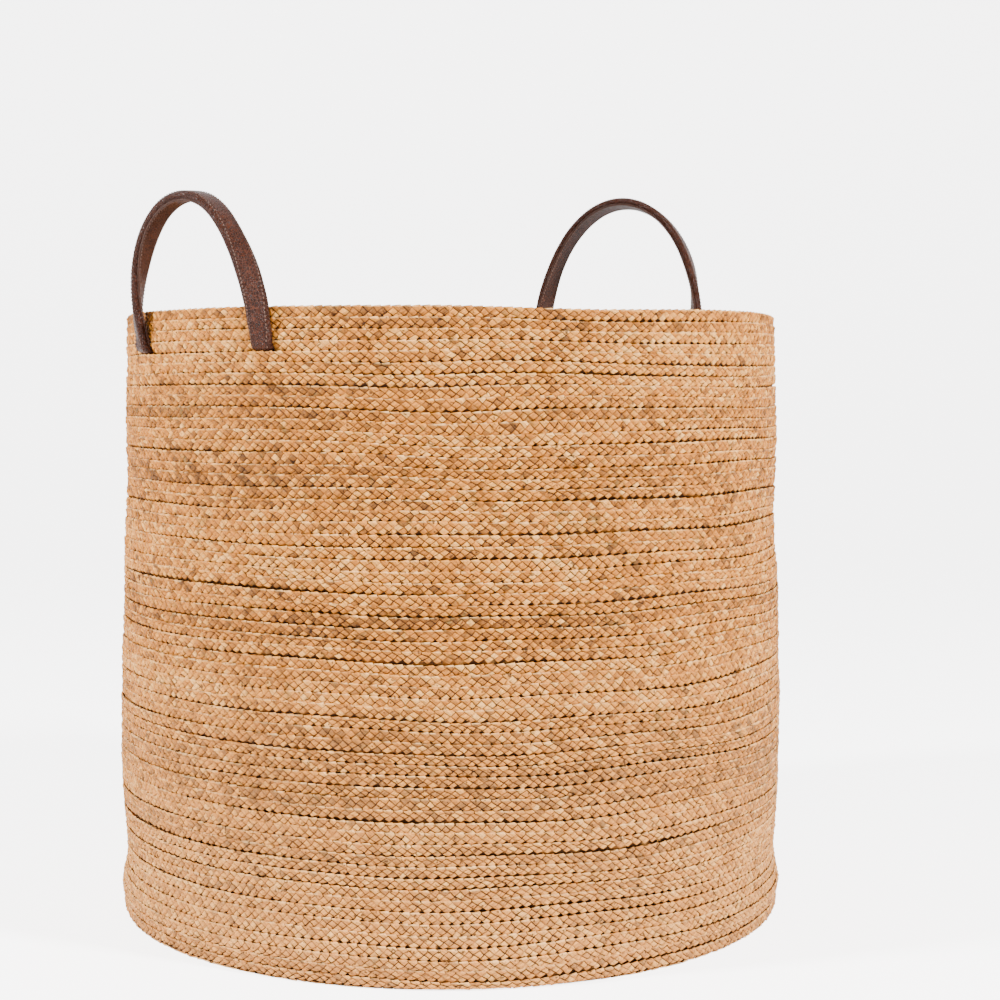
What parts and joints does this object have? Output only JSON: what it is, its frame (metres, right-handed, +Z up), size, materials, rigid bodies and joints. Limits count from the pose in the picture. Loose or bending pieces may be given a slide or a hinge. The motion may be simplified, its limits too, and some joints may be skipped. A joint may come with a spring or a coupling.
{
  "type": "storage basket",
  "caption": "Round coiled-plait storage basket, open at the top, with a flat base and leather strap loops on opposite sides that fold outwards.",
  "frame": {"origin": "middle of the base's underside, on the surface that the basket stands on", "axes": "+Z up along the basket's axis; the strap handles stand at -X and +X, both set back 4.2 degrees towards +Y"},
  "size_m": [0.4965, 0.483, 0.5334],
  "materials": {
    "plait": "dry plaited leaf, golden tan, low sheen",
    "leather": "dark brown grained leather, satin",
    "lining": "greyish brown leather flesh side, matt",
    "core": "leatherboard strip, matt",
    "thread": "waxed brown thread"
  },
  "bodies": {
    "basket": {"base_plait": "plait", "wall_plait": "plait", "left_tail_a": "leather", "left_tail_b": "leather", "left_tail_a_stitching": "thread", "left_tail_b_stitching": "thread", "right_tail_a": "leather", "right_tail_b": "leather", "right_tail_a_stitching": "thread", "right_tail_b_stitching": "thread"},
    "left_handle": {"left_strap_outer": "leather", "left_strap_core": "core", "left_strap_lining": "lining", "left_front_stitches": "thread", "left_back_stitches": "thread"},
    "right_handle": {"right_strap_outer": "leather", "right_strap_core": "core", "right_strap_lining": "lining", "right_front_stitches": "thread", "right_back_stitches": "thread"}
  },
  "joints": [
    {"name": "left_handle_fold", "type": "hinge", "parent": "basket", "child": "left_handle", "pos_m": [-0.2296, 0.01686, 0.40047], "axis": [-0.0732, -0.9973, 0], "range_deg": [0, 120]},
    {"name": "right_handle_fold", "type": "hinge", "parent": "basket", "child": "right_handle", "pos_m": [0.22597, 0.01659, 0.40047], "axis": [-0.0732, 0.9973, 0], "range_deg": [0, 120]}
  ]
}
